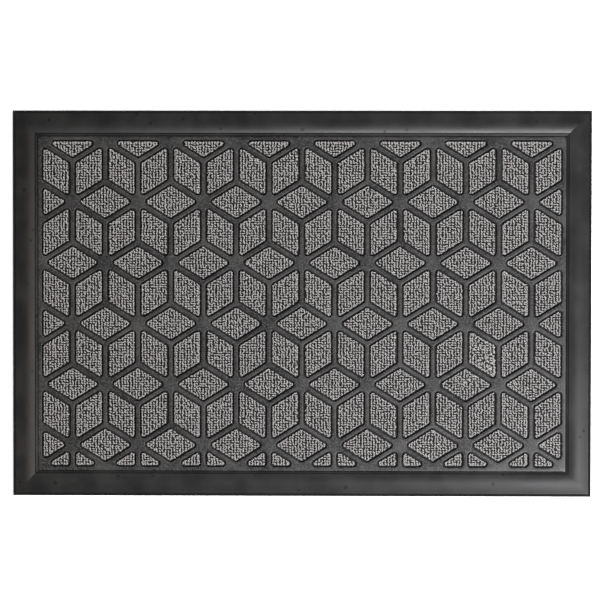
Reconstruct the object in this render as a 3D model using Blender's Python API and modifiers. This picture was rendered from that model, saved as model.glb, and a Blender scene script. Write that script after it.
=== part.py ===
"""Rubber-framed carpet door mat with a tumbling-block lattice.

Four bonded layers, all in metres, with +Z up and the underside on z = 0:
    backing_sheet   flat rubber sheet, the whole size of the mat
    border_frame    moulded ring with mitred corners, a concave ramp, a crest and a ledge
    carpet_sheet    loop-pile carpet whose pads stand up through the lattice
    lattice_panel   moulded rubber grid with one rounded window for each pad
"""

import math

import bmesh
import bpy
from mathutils import Vector

# Overall sizes.
MAT_LENGTH = 0.600
MAT_WIDTH = 0.400

# Fit between two pieces that are bonded face to face.
BOND_GAP = 0.0003

# Backing sheet.
BACKING_THICKNESS = 0.0020
BACKING_EDGE_BEVEL = 0.0005

# Border frame, measured inwards from the edge of the mat and upwards from its own underside.
LIP_WIDTH = 0.0030
TOE_HEIGHT = 0.0004
TOE_RUN = 0.0080
TOE_RISE = 0.0007
COVE_RUN = 0.0122
COVE_RISE = 0.0042
COVE_STEPS = 8
CREST_WIDTH = 0.0003
STEP_RUN = 0.0003
STEP_DROP = 0.0012
LEDGE_WIDTH = 0.0021
LEDGE_CHAMFER = 0.0003

# Carpet: the woven cloth, and how far the pads stand up from it.
CLOTH_THICKNESS = 0.0012
PAD_HEIGHT = 0.0036
CARPET_TUCK = 0.0022

# Lattice panel.
LATTICE_THICKNESS = 0.0022
PANEL_MARGIN = 0.0041
RIB_WIDTH = 0.00375
WINDOW_RADIUS = 0.0040
GROOVE_WIDTH = 0.0016
CORNER_STEPS = 2

# Tumbling-block pattern: the distance between two columns, the rise of a slanting rib over half of it,
# how far the first row of lattice points lies below the top edge of the field, the shortest side that
# an outline keeps, and how near two points count as one.
COLUMN_PITCH = 0.0679
RIB_RISE = 0.02101
FIRST_ROW_DROP = 0.0031
SHORTEST_SIDE = 0.0003
WELD_DISTANCE = 0.00001

# Colour (linear), roughness.
RUBBER = (0.045, 0.044, 0.044, 1.0)
RUBBER_ROUGHNESS = 0.62
BORDER_ROUGHNESS = 0.55
CARPET = (0.235, 0.222, 0.220, 1.0)
CARPET_ROUGHNESS = 0.95

# Heights that follow from the layers.
ABOVE_BACKING = BACKING_THICKNESS + BOND_GAP
CLOTH_TOP = ABOVE_BACKING + CLOTH_THICKNESS
PAD_TOP = CLOTH_TOP + PAD_HEIGHT
LATTICE_BOTTOM = CLOTH_TOP + BOND_GAP
LATTICE_TOP = LATTICE_BOTTOM + LATTICE_THICKNESS

# Distances inwards from the edge of the mat that follow from the border's section.
COVE_START = LIP_WIDTH + TOE_RUN
CREST_START = COVE_START + COVE_RUN
LEDGE_START = CREST_START + CREST_WIDTH + STEP_RUN
BORDER_INSET = LEDGE_START + LEDGE_WIDTH
PANEL_INSET = BORDER_INSET + BOND_GAP
CARPET_INSET = BORDER_INSET - CARPET_TUCK
FIELD_INSET = PANEL_INSET + PANEL_MARGIN - RIB_WIDTH / 2


def clear_scene():
    """Removes every object, so the script gives the same result wherever it is run."""
    for item in list(bpy.data.objects):
        bpy.data.objects.remove(item, do_unlink=True)


def make_collection(name):
    """Returns a new collection under the scene."""
    collection = bpy.data.collections.new(name)
    bpy.context.scene.collection.children.link(collection)
    return collection


def make_material(name, colour, roughness):
    """Returns a Principled material of one colour and roughness."""
    material = bpy.data.materials.new(name)
    material.use_nodes = True
    shader = material.node_tree.nodes["Principled BSDF"]
    shader.inputs["Base Color"].default_value = colour
    shader.inputs["Roughness"].default_value = roughness
    shader.inputs["Metallic"].default_value = 0.0
    material.diffuse_color = colour
    return material


def add_object(name, mesh, collection, material=None):
    """Links a mesh as a new object and returns it."""
    item = bpy.data.objects.new(name, mesh)
    collection.objects.link(item)
    if material is not None:
        mesh.materials.append(material)
    return item


def mesh_from(bm, name):
    """Turns an edited mesh into a data block, faces pointing out."""
    bmesh.ops.recalc_face_normals(bm, faces=bm.faces)
    mesh = bpy.data.meshes.new(name)
    bm.to_mesh(mesh)
    bm.free()
    return mesh


def slab(name, inset, bottom, top, collection, material):
    """Returns a rectangular sheet that stops a given distance short of the mat's edge."""
    bm = bmesh.new()
    bmesh.ops.create_cube(bm, size=1.0)
    size = Vector((MAT_LENGTH - 2 * inset, MAT_WIDTH - 2 * inset, top - bottom))
    bmesh.ops.scale(bm, vec=size, verts=bm.verts)
    bmesh.ops.translate(bm, vec=(0.0, 0.0, (top + bottom) / 2), verts=bm.verts)
    return add_object(name, mesh_from(bm, name), collection, material)


def keep_inside(points, origin, inward):
    """Cuts a convex outline with a line and keeps the side that inward points to."""
    kept = []
    for a, b in zip(points, points[1:] + points[:1]):
        height_a = (a - origin).dot(inward)
        height_b = (b - origin).dot(inward)
        if height_a >= 0:
            kept.append(a)
        if height_a * height_b < 0:
            kept.append(a.lerp(b, height_a / (height_a - height_b)))
    return kept


def shrink(points, distance):
    """Returns a convex outline moved inwards by a distance; it may vanish."""
    shrunk = points
    for a, b in zip(points, points[1:] + points[:1]):
        along = (b - a).normalized()
        inward = Vector((-along.y, along.x))
        shrunk = keep_inside(shrunk, a + inward * distance, inward)
    return shrunk


def without_short_sides(points, shortest):
    """Joins corners that lie nearer to each other than the given length."""
    kept = []
    for point in points:
        if not kept or (point - kept[-1]).length > shortest:
            kept.append(point)
    if len(kept) > 1 and (kept[0] - kept[-1]).length <= shortest:
        kept.pop()
    return kept


def grow_rounded(points, radius):
    """Returns a convex outline moved outwards by a radius, with an arc round each of its corners."""
    rounded = []
    for i, corner in enumerate(points):
        before = (corner - points[i - 1]).normalized()
        after = (points[(i + 1) % len(points)] - corner).normalized()
        start = math.atan2(-before.x, before.y)
        sweep = before.angle(after)
        for step in range(CORNER_STEPS + 1):
            angle = start + sweep * step / CORNER_STEPS
            rounded.append(corner + radius * Vector((math.cos(angle), math.sin(angle))))
    return rounded


def block_faces(point):
    """Returns the three faces of one block: two that hang from a lattice point, one to its right."""
    half = COLUMN_PITCH / 2
    right = [
        point,
        point + Vector((0, -2 * RIB_RISE)),
        point + Vector((half, -3 * RIB_RISE)),
        point + Vector((half, -RIB_RISE)),
    ]
    left = [
        point,
        point + Vector((-half, -RIB_RISE)),
        point + Vector((-half, -3 * RIB_RISE)),
        point + Vector((0, -2 * RIB_RISE)),
    ]
    top = [
        point,
        point + Vector((half, -RIB_RISE)),
        point + Vector((COLUMN_PITCH, 0)),
        point + Vector((half, RIB_RISE)),
    ]
    return [right, left, top]


def pattern_cells():
    """Returns the cells of the pattern that lie in the field, cut off at its edges."""
    half_x = MAT_LENGTH / 2 - FIELD_INSET
    half_y = MAT_WIDTH / 2 - FIELD_INSET
    columns = math.ceil(half_x / COLUMN_PITCH) + 1
    rows = math.ceil(2 * half_y / (3 * RIB_RISE)) + 1
    sides = [
        (Vector((-half_x, 0)), Vector((1, 0))),
        (Vector((half_x, 0)), Vector((-1, 0))),
        (Vector((0, -half_y)), Vector((0, 1))),
        (Vector((0, half_y)), Vector((0, -1))),
    ]
    cells = []
    for row in range(-1, rows):
        y = half_y - FIRST_ROW_DROP - row * 3 * RIB_RISE
        shift = COLUMN_PITCH / 2 if row % 2 else 0.0
        for column in range(-columns, columns + 1):
            for cell in block_faces(Vector((column * COLUMN_PITCH + shift, y))):
                for origin, inward in sides:
                    cell = keep_inside(cell, origin, inward)
                cell = without_short_sides(cell, SHORTEST_SIDE)
                if len(cell) > 2:
                    cells.append(cell)
    return cells


def cell_cores(cells):
    """Returns the straight-sided core of each cell, round which its window and its pad are grown."""
    cores = []
    for cell in cells:
        core = without_short_sides(shrink(cell, RIB_WIDTH / 2 + WINDOW_RADIUS), SHORTEST_SIDE)
        if len(core) > 2:
            cores.append(core)
    return cores


def flat_plate(name, outlines, bottom, top, collection):
    """Returns a mesh object made from filled outlines, where one inside another is a hole."""
    curve = bpy.data.curves.new(name, "CURVE")
    curve.dimensions = "2D"
    curve.fill_mode = "BOTH"
    curve.extrude = (top - bottom) / 2
    for points in outlines:
        spline = curve.splines.new("POLY")
        spline.points.add(len(points) - 1)
        for target, point in zip(spline.points, points):
            target.co = (point.x, point.y, 0.0, 1.0)
        spline.use_cyclic_u = True
    source = bpy.data.objects.new(name + "_outline", curve)
    source.location.z = (top + bottom) / 2
    collection.objects.link(source)
    bpy.context.view_layer.update()
    graph = bpy.context.evaluated_depsgraph_get()
    mesh = bpy.data.meshes.new_from_object(source.evaluated_get(graph))
    plate = add_object(name, mesh, collection)
    plate.matrix_world = source.matrix_world
    bpy.data.objects.remove(source, do_unlink=True)
    bpy.data.curves.remove(curve)
    bm = bmesh.new()
    bm.from_mesh(mesh)
    bmesh.ops.remove_doubles(bm, verts=bm.verts, dist=WELD_DISTANCE)
    bmesh.ops.recalc_face_normals(bm, faces=bm.faces)
    bm.to_mesh(mesh)
    bm.free()
    return plate


def border_section():
    """Returns the border's section as (distance in from the edge, height) pairs, once round."""
    toe_slope = math.atan2(TOE_RISE, TOE_RUN)
    chord_slope = math.atan2(COVE_RISE, COVE_RUN)
    crest_slope = 2 * chord_slope - toe_slope
    toe_top = ABOVE_BACKING + TOE_HEIGHT + TOE_RISE
    radius = COVE_RUN / (math.sin(crest_slope) - math.sin(toe_slope))
    section = [(LIP_WIDTH, ABOVE_BACKING), (LIP_WIDTH, ABOVE_BACKING + TOE_HEIGHT)]
    for step in range(COVE_STEPS + 1):
        slope = toe_slope + (crest_slope - toe_slope) * step / COVE_STEPS
        run = radius * (math.sin(slope) - math.sin(toe_slope))
        rise = radius * (math.cos(toe_slope) - math.cos(slope))
        section.append((COVE_START + run, toe_top + rise))
    crest = section[-1][1]
    ledge = crest - STEP_DROP
    section += [
        (CREST_START + CREST_WIDTH, crest),
        (LEDGE_START, ledge),
        (BORDER_INSET - LEDGE_CHAMFER, ledge),
        (BORDER_INSET, ledge - LEDGE_CHAMFER),
        (BORDER_INSET, LATTICE_BOTTOM),
        (CARPET_INSET - BOND_GAP, LATTICE_BOTTOM),
        (CARPET_INSET - BOND_GAP, ABOVE_BACKING),
    ]
    return section


def make_border_frame(collection, material):
    """Makes the border: its section carried round the mat, with a mitre at each corner."""
    bm = bmesh.new()
    rings = []
    for inset, height in border_section():
        x = MAT_LENGTH / 2 - inset
        y = MAT_WIDTH / 2 - inset
        corners = [(-x, -y), (x, -y), (x, y), (-x, y)]
        rings.append([bm.verts.new((px, py, height)) for px, py in corners])
    for ring, next_ring in zip(rings, rings[1:] + rings[:1]):
        for i in range(4):
            j = (i + 1) % 4
            bm.faces.new((ring[i], ring[j], next_ring[j], next_ring[i]))
    return add_object("border_frame", mesh_from(bm, "border_frame"), collection, material)


def make_backing_sheet(collection, material):
    """Makes the backing sheet, with its edges broken."""
    sheet = slab("backing_sheet", 0.0, 0.0, BACKING_THICKNESS, collection, material)
    bevel = sheet.modifiers.new("broken_edges", "BEVEL")
    bevel.width = BACKING_EDGE_BEVEL
    bevel.segments = 2
    bevel.limit_method = "ANGLE"
    return sheet


def make_lattice_panel(cores, collection, material):
    """Makes the grid: a rectangle with a rounded window round each core."""
    x = MAT_LENGTH / 2 - PANEL_INSET
    y = MAT_WIDTH / 2 - PANEL_INSET
    edge = [Vector((-x, -y)), Vector((x, -y)), Vector((x, y)), Vector((-x, y))]
    windows = [grow_rounded(core, WINDOW_RADIUS) for core in cores]
    panel = flat_plate("lattice_panel", [edge] + windows, LATTICE_BOTTOM, LATTICE_TOP, collection)
    panel.data.materials.append(material)
    return panel


def make_carpet_sheet(cores, collection, cutters, material):
    """Makes the cloth, joined with a pad for each window of the lattice."""
    cloth = slab("carpet_sheet", CARPET_INSET, ABOVE_BACKING, CLOTH_TOP, collection, material)
    pads = [grow_rounded(core, WINDOW_RADIUS - GROOVE_WIDTH) for core in cores]
    middle_of_cloth = (ABOVE_BACKING + CLOTH_TOP) / 2
    shape = flat_plate("pad_shapes", pads, middle_of_cloth, PAD_TOP, cutters)
    shape.hide_render = True
    shape.display_type = "WIRE"
    join = cloth.modifiers.new("raised_pads", "BOOLEAN")
    join.operation = "UNION"
    join.solver = "EXACT"
    join.object = shape
    return cloth


def main():
    """Builds the four layers from the bottom up."""
    clear_scene()
    mat = make_collection("door_mat")
    cutters = make_collection("cutters")
    rubber = make_material("moulded_rubber", RUBBER, RUBBER_ROUGHNESS)
    border_rubber = make_material("border_rubber", RUBBER, BORDER_ROUGHNESS)
    backing_rubber = make_material("backing_rubber", RUBBER, RUBBER_ROUGHNESS)
    carpet = make_material("loop_pile_carpet", CARPET, CARPET_ROUGHNESS)
    cores = cell_cores(pattern_cells())
    make_backing_sheet(mat, backing_rubber)
    make_border_frame(mat, border_rubber)
    make_carpet_sheet(cores, mat, cutters, carpet)
    make_lattice_panel(cores, mat, rubber)


main()
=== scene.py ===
"""Looks of a rubber-framed carpet door mat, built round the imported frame.

The mat lies on a floor: a rubber backing sheet with low studs, a moulded border, a loop-pile carpet and
the rubber lattice that its pads stand up through. Lengths are in metres.
"""

import logging
import math
from dataclasses import dataclass
from enum import Enum
from typing import Any

import bmesh
import bpy
import numpy as np
from mathutils import Matrix, Vector, geometry, noise


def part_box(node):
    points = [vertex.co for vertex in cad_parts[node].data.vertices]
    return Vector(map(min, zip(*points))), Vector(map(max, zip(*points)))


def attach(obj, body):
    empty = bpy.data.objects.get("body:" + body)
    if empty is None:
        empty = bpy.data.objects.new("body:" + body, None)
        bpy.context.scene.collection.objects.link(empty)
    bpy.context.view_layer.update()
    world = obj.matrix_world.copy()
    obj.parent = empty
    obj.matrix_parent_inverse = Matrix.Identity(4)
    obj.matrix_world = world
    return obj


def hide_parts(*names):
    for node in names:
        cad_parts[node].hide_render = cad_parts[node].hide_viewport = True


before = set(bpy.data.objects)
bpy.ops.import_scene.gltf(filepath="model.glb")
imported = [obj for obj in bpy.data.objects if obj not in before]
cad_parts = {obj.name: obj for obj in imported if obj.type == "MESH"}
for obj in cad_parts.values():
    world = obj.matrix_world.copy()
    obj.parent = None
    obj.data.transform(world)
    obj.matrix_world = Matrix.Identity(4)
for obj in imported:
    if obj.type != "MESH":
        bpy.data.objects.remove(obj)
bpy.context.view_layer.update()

MM = 0.001
BODY = "root"
SEED = 4107
# Places of the colour sockets in a Mix node's inputs and outputs, where all data types share their names.
MIX_A, MIX_B, MIX_RESULT = 6, 7, 2
log = logging.getLogger("door_mat")

Point = tuple[float, float]
Loop = list[Point]


class Slot(Enum):
    """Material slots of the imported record."""

    BACKING = "backing_rubber"
    BORDER = "border_rubber"
    CARPET = "loop_pile_carpet"
    LATTICE = "lattice_rubber"


# ---------------------------------------------------------------- finishes


def linear(hex_colour: str) -> tuple[float, float, float, float]:
    """Turns an sRGB hex colour into linear RGBA.

    Args:
        hex_colour: colour such as "#3a3b3c".

    Returns:
        The colour's linear components, with alpha 1.
    """
    shares = [int(hex_colour[i : i + 2], 16) / 255 for i in (1, 3, 5)]
    r, g, b = (s / 12.92 if s <= 0.04045 else ((s + 0.055) / 1.055) ** 2.4 for s in shares)
    return (r, g, b, 1.0)


def add_node(tree: bpy.types.NodeTree, kind: str, links: dict[Any, Any], **settings: Any) -> bpy.types.Node:
    """Adds a node, and gives it its settings and its inputs.

    Args:
        tree: node tree to add to.
        kind: the node's type, without the ShaderNode in front.
        links: input name or index, with a value or the socket that feeds it.
        settings: attributes of the node.

    Returns:
        The new node.
    """
    node = tree.nodes.new("ShaderNode" + kind)
    for name, value in settings.items():
        setattr(node, name, value)
    for key, value in links.items():
        if isinstance(value, bpy.types.NodeSocket):
            tree.links.new(value, node.inputs[key])
        else:
            node.inputs[key].default_value = value
    return node


def blank_material(name: str) -> tuple[bpy.types.Material, bpy.types.NodeTree, bpy.types.Node]:
    """Makes a node material with a Principled shader.

    Args:
        name: the material's name.

    Returns:
        The material, its node tree and its Principled node.
    """
    material = bpy.data.materials.new(name)
    material.use_nodes = True
    tree = material.node_tree
    return material, tree, tree.nodes["Principled BSDF"]


@dataclass(frozen=True)
class MouldedRubber:
    """Carbon-black SBR rubber, hot moulded.

    It is near black and matt to satin, so its shape shows by soft gloss on the slopes. Bloom and fibre leave
    cloudy and grainy paler patches, a few dark specks are moulded in, and painted light greys an unlit
    underside.

    Attributes:
        name: the material's name.
        colour: clean rubber, sRGB.
        bloom_and_painted_light: greyer rubber where the surface has bloomed or shows fibre, and painted light
            on the unlit underside, sRGB.
        roughness: roughness of the clean rubber, less a little.
        specular: strength of its gloss.
        grain_mm: size of the mould's grain, drawn coarser than it is so that it shows.
        grain_mm_high: height of the grain.
        mottle_mm: size of the soft cloudy patches.
        mottle_share: how strongly the patches show, 0 to 1.
        fleck_mm: size of the fine pale flecks.
        fleck_share: how strongly the flecks show, 0 to 1.
        speck_mm: spacing of the few dark specks.
        painted_light_below_mm: height under which the rubber is painted greyer, as painted light on the unlit
            underside.
    """

    name: str
    colour: str
    bloom_and_painted_light: str
    roughness: float
    specular: float
    grain_mm: float = 0.9
    grain_mm_high: float = 0.05
    mottle_mm: float = 38.0
    mottle_share: float = 0.55
    fleck_mm: float = 1.6
    fleck_share: float = 0.25
    speck_mm: float = 34.0
    painted_light_below_mm: float = -1.0

    def make(self) -> bpy.types.Material:
        """Builds the material; the paler patches are rougher too, and the grain breaks up the gloss.

        Returns:
            The material.
        """
        material, tree, shader = blank_material(self.name)
        place = add_node(tree, "TexCoord", {}).outputs["Object"]
        texture = {"Vector": place, "Scale": 1 / (self.mottle_mm * MM), "Detail": 4.0, "Roughness": 0.62}
        mottle = add_node(tree, "TexNoise", texture).outputs["Fac"]
        texture = {"Vector": place, "Scale": 1 / (self.fleck_mm * MM), "Detail": 3.0, "Roughness": 0.7}
        fleck = add_node(tree, "TexNoise", texture).outputs["Fac"]
        texture = {"Vector": place, "Scale": 1 / (self.grain_mm * MM), "Detail": 5.0, "Roughness": 0.6}
        grain = add_node(tree, "TexNoise", texture).outputs["Fac"]

        shares = {"Value": mottle, "From Min": 0.38, "From Max": 0.68, "To Max": self.mottle_share}
        clouds = add_node(tree, "MapRange", shares).outputs["Result"]
        shares = {"Value": fleck, "From Min": 0.47, "From Max": 0.66, "To Max": self.fleck_share}
        flecks = add_node(tree, "MapRange", shares).outputs["Result"]
        # Painted light: under the given height the rubber is painted greyer, standing in for light on the
        # unlit underside.
        height = add_node(tree, "SeparateXYZ", {"Vector": place}).outputs["Z"]
        fade = {"From Min": self.painted_light_below_mm * MM, "From Max": (self.painted_light_below_mm + 0.3) * MM}
        shares = {"Value": height, **fade, "To Min": 1.0, "To Max": 0.0}
        painted_underside_light = add_node(tree, "MapRange", shares).outputs["Result"]
        pale = clouds
        for layer in (flecks, painted_underside_light):
            pale = add_node(tree, "Math", {0: pale, 1: layer}, operation="ADD", use_clamp=True).outputs[0]

        # A speck is near the middle of its cell, and cells in cloudier rubber have larger ones.
        cells = {"Vector": place, "Scale": 1 / (self.speck_mm * MM), "Randomness": 1.0}
        centre = add_node(tree, "TexVoronoi", cells, voronoi_dimensions="2D").outputs["Distance"]
        sizes = {"Value": mottle, "From Min": 0.44, "From Max": 0.6, "To Min": 0.015, "To Max": 0.055}
        size = add_node(tree, "MapRange", sizes).outputs["Result"]
        beyond = add_node(tree, "Math", {0: centre, 1: size}, operation="DIVIDE").outputs[0]
        rim = {"Value": beyond, "From Min": 0.7, "From Max": 1.5}
        clean = add_node(tree, "MapRange", {**rim, "To Min": 0.5}).outputs["Result"]
        glossy = {**rim, "To Min": 0.62 * self.specular, "To Max": self.specular}
        gloss = add_node(tree, "MapRange", glossy).outputs["Result"]

        tones = {"Factor": pale, MIX_A: linear(self.colour), MIX_B: linear(self.bloom_and_painted_light)}
        base = add_node(tree, "Mix", tones, data_type="RGBA").outputs[MIX_RESULT]
        layers = {"Factor": 1.0, MIX_A: base, MIX_B: clean}
        specked = add_node(tree, "Mix", layers, data_type="RGBA", blend_type="MULTIPLY").outputs[MIX_RESULT]
        levels = {"Value": pale, "To Min": self.roughness - 0.05, "To Max": self.roughness + 0.14}
        roughness = add_node(tree, "MapRange", levels).outputs["Result"]
        relief = add_node(tree, "Math", {0: grain, 1: flecks}, operation="ADD").outputs[0]
        raised = {"Height": relief, "Strength": 0.55, "Distance": self.grain_mm_high * MM}
        normal = add_node(tree, "Bump", raised).outputs["Normal"]
        tree.links.new(specked, shader.inputs["Base Color"])
        tree.links.new(roughness, shader.inputs["Roughness"])
        tree.links.new(gloss, shader.inputs["Specular IOR Level"])
        tree.links.new(normal, shader.inputs["Normal"])
        shader.inputs["IOR"].default_value = 1.5
        return material


@dataclass(frozen=True)
class LoopYarn:
    """Crimped polypropylene carpet yarn, two plies twisted together.

    Its many dull filaments make it rough, with a faint sheen; painted shade darkens the line between the
    plies and the loops' feet.

    Attributes:
        name: the material's name.
        colour: the lightest loops, sRGB.
        dark: the darkest loops, sRGB.
        ply_groove_shade: how much of the colour is left between the plies, where shade is painted.
        foot: how much is left at a loop's feet, where shade is painted.
        filament_mm: width of one bundle of filaments, drawn some four times too coarse so that it shows.
    """

    name: str = "crimped_polypropylene_yarn"
    colour: str = "#9f9c9b"
    dark: str = "#8f8c8a"
    ply_groove_shade: float = 0.52
    foot: float = 0.36
    filament_mm: float = 0.22

    def make(self, along: float, around: float) -> bpy.types.Material:
        """Builds the material.

        Args:
            along: length of a loop's yarn.
            around: distance round the yarn.

        Returns:
            The material.
        """
        material, tree, shader = blank_material(self.name)
        island = add_node(tree, "NewGeometry", {}).outputs["Random Per Island"]
        unrolled = add_node(tree, "UVMap", {}, uv_map="yarn").outputs["UV"]
        bundles = (around / (self.filament_mm * MM), along / around * 2.0, 1.0)
        stretched = add_node(tree, "Mapping", {"Vector": unrolled, "Scale": bundles}).outputs["Vector"]
        fibres = {"Vector": stretched, "Scale": 1.0, "Detail": 2.0}
        strands = add_node(tree, "TexNoise", fibres).outputs["Fac"]
        shade = {0: island, 1: 0.5, 2: strands}
        shade = add_node(tree, "Math", shade, operation="MULTIPLY_ADD", use_clamp=True).outputs[0]

        # Painted shade: the colour is darkened in the groove between the plies and towards each loop's feet.
        place = add_node(tree, "SeparateXYZ", {"Vector": unrolled})
        turn = add_node(tree, "Math", {0: place.outputs["X"], 1: 4 * math.pi}, operation="MULTIPLY")
        lobe = add_node(tree, "Math", {0: turn.outputs[0]}, operation="COSINE").outputs[0]
        levels = {"Value": lobe, "From Min": -1.0, "From Max": 0.1, "To Min": self.ply_groove_shade}
        crown = add_node(tree, "MapRange", levels).outputs["Result"]
        end = add_node(tree, "Math", {0: place.outputs["Y"], 1: 0.5}, operation="SUBTRACT")
        from_top = add_node(tree, "Math", {0: end.outputs[0]}, operation="ABSOLUTE").outputs[0]
        levels = {"Value": from_top, "From Min": 0.24, "From Max": 0.42, "To Min": 1.0, "To Max": self.foot}
        clean = add_node(tree, "MapRange", levels).outputs["Result"]
        painted_ply_and_foot_shade = add_node(tree, "Math", {0: crown, 1: clean}, operation="MULTIPLY").outputs[0]

        tones = {"Factor": shade, MIX_A: linear(self.dark), MIX_B: linear(self.colour)}
        base = add_node(tree, "Mix", tones, data_type="RGBA").outputs[MIX_RESULT]
        layers = {"Factor": 1.0, MIX_A: base, MIX_B: painted_ply_and_foot_shade}
        yarn_with_painted_shade = add_node(tree, "Mix", layers, data_type="RGBA", blend_type="MULTIPLY").outputs[MIX_RESULT]
        raised = {"Height": strands, "Strength": 0.9, "Distance": self.filament_mm * MM}
        normal = add_node(tree, "Bump", raised).outputs["Normal"]
        tree.links.new(yarn_with_painted_shade, shader.inputs["Base Color"])
        tree.links.new(normal, shader.inputs["Normal"])
        shader.inputs["Roughness"].default_value = 0.9
        shader.inputs["Specular IOR Level"].default_value = 0.25
        shader.inputs["Sheen Weight"].default_value = 0.2
        shader.inputs["Sheen Roughness"].default_value = 0.6
        shader.inputs["IOR"].default_value = 1.49
        return material


@dataclass(frozen=True)
class WovenCloth:
    """Carpet backing cloth of woven polypropylene tape, near black partly from the rubber pressed through it
    and partly as painted shade.

    It is seen only as a matt dark weave at the bottom of the grooves.

    Attributes:
        name: the material's name.
        colour: top of a tape, sRGB.
        gap: between the tapes, sRGB.
        tape_mm: spacing of the tapes.
    """

    name: str = "woven_backing_cloth"
    # Painted shade: these near-black colours also stand in for the shade at the bottom of the grooves.
    colour: str = "#1c1b1b"
    gap: str = "#0e0e0e"
    tape_mm: float = 1.3

    def make(self) -> bpy.types.Material:
        """Builds the material: two sets of tapes cross at right angles.

        Returns:
            The material.
        """
        material, tree, shader = blank_material(self.name)
        place = add_node(tree, "TexCoord", {}).outputs["Object"]
        tapes = {"Vector": place, "Scale": 0.314 / (self.tape_mm * MM), "Distortion": 0.6, "Detail": 1.0}
        across, along = (add_node(tree, "TexWave", tapes, bands_direction=way).outputs["Fac"] for way in "XY")
        weave = add_node(tree, "Math", {0: across, 1: along}, operation="MAXIMUM").outputs[0]
        tones = {"Factor": weave, MIX_A: linear(self.gap), MIX_B: linear(self.colour)}
        base = add_node(tree, "Mix", tones, data_type="RGBA").outputs[MIX_RESULT]
        raised = {"Height": weave, "Strength": 0.7, "Distance": 0.15 * MM}
        normal = add_node(tree, "Bump", raised).outputs["Normal"]
        tree.links.new(base, shader.inputs["Base Color"])
        tree.links.new(normal, shader.inputs["Normal"])
        shader.inputs["Roughness"].default_value = 0.85
        return material


# ---------------------------------------------------------------- outlines


def keep_inside(points: Loop, origin: Point, inward: Point) -> Loop:
    """Cuts a convex outline with a line.

    Args:
        points: the outline's corners, anticlockwise.
        origin: a point on the line.
        inward: the side to keep.

    Returns:
        The corners of what is left.
    """
    kept: Loop = []
    for a, b in zip(points, points[1:] + points[:1]):
        height_a = (a[0] - origin[0]) * inward[0] + (a[1] - origin[1]) * inward[1]
        height_b = (b[0] - origin[0]) * inward[0] + (b[1] - origin[1]) * inward[1]
        if height_a >= 0:
            kept.append(a)
        if height_a * height_b < 0:
            share = height_a / (height_a - height_b)
            kept.append((a[0] + (b[0] - a[0]) * share, a[1] + (b[1] - a[1]) * share))
    return kept


def shrink(points: Loop, distance: float) -> Loop:
    """Moves a convex outline inwards.

    Args:
        points: the outline's corners, anticlockwise.
        distance: how far it moves.

    Returns:
        The corners of what is left, which may be none.
    """
    shrunk = points
    for a, b in zip(points, points[1:] + points[:1]):
        length = math.dist(a, b)
        inward = (-(b[1] - a[1]) / length, (b[0] - a[0]) / length)
        origin = (a[0] + inward[0] * distance, a[1] + inward[1] * distance)
        shrunk = keep_inside(shrunk, origin, inward)
    return shrunk


def without_short_sides(points: Loop, shortest: float) -> Loop:
    """Joins corners that lie too near to each other.

    Args:
        points: the outline's corners.
        shortest: the shortest side to keep.

    Returns:
        The corners that are left.
    """
    kept: Loop = []
    for point in points:
        if not kept or math.dist(point, kept[-1]) > shortest:
            kept.append(point)
    if len(kept) > 1 and math.dist(kept[0], kept[-1]) <= shortest:
        kept.pop()
    return kept


def grow(points: Loop, radius: float, arc_steps: int, run: float) -> Loop:
    """Moves a convex outline outwards, with an arc round each corner.

    Args:
        points: the outline's corners, anticlockwise.
        radius: how far it moves.
        arc_steps: pieces of each arc.
        run: longest piece of a straight side.

    Returns:
        The grown outline; its points have the same order and number for every radius.
    """
    grown: Loop = []
    for i, corner in enumerate(points):
        previous, following = points[i - 1], points[(i + 1) % len(points)]
        start = math.atan2(previous[0] - corner[0], corner[1] - previous[1])
        end = math.atan2(corner[0] - following[0], following[1] - corner[1])
        sweep = (end - start) % (2 * math.pi)
        for step in range(arc_steps + 1):
            angle = start + sweep * step / arc_steps
            grown.append((corner[0] + radius * math.cos(angle), corner[1] + radius * math.sin(angle)))
        pieces = max(1, math.ceil(math.dist(corner, following) / run))
        for piece in range(1, pieces):
            share = piece / pieces
            x = corner[0] + (following[0] - corner[0]) * share + radius * math.cos(end)
            y = corner[1] + (following[1] - corner[1]) * share + radius * math.sin(end)
            grown.append((x, y))
    return grown


@dataclass(frozen=True)
class Cell:
    """One window of the lattice, and the pad in it.

    Attributes:
        core: straight-sided outline that the window and the pad are grown from.
        row: the lattice row it belongs to, from the top.
        hangs: True for the faces that hang from a lattice point, False for those beside one.
    """

    core: tuple[Point, ...]
    row: int
    hangs: bool

    def centre(self) -> Point:
        """Returns the middle of the cell's corners."""
        count = len(self.core)
        return (sum(p[0] for p in self.core) / count, sum(p[1] for p in self.core) / count)

    def depth(self, points: np.ndarray) -> tuple[np.ndarray, np.ndarray]:
        """Measures how far points lie outside the core.

        Args:
            points: n by 2 array.

        Returns:
            The signed distance to the core, negative inside, and the direction away from it.
        """
        corners = np.array(self.core)
        following = np.roll(corners, -1, axis=0)
        side = following - corners
        length = np.linalg.norm(side, axis=1)
        outward = np.stack([side[:, 1], -side[:, 0]], axis=1) / length[:, None]
        offset = points[:, None, :] - corners[None]
        inside = (offset * outward).sum(axis=2)
        share = np.clip((offset * side).sum(axis=2) / length**2, 0, 1)
        nearest = corners[None] + share[..., None] * side[None]
        gap = points[:, None, :] - nearest
        distance = np.linalg.norm(gap, axis=2)
        pick = distance.argmin(axis=1)
        rows = np.arange(len(points))
        within = (inside <= 0).all(axis=1)
        deepest = inside.argmax(axis=1)
        signed = np.where(within, inside[rows, deepest], distance[rows, pick])
        away = gap[rows, pick] / np.maximum(distance[rows, pick], 1e-9)[:, None]
        away = np.where(within[:, None], outward[deepest], away)
        return signed, away


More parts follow.
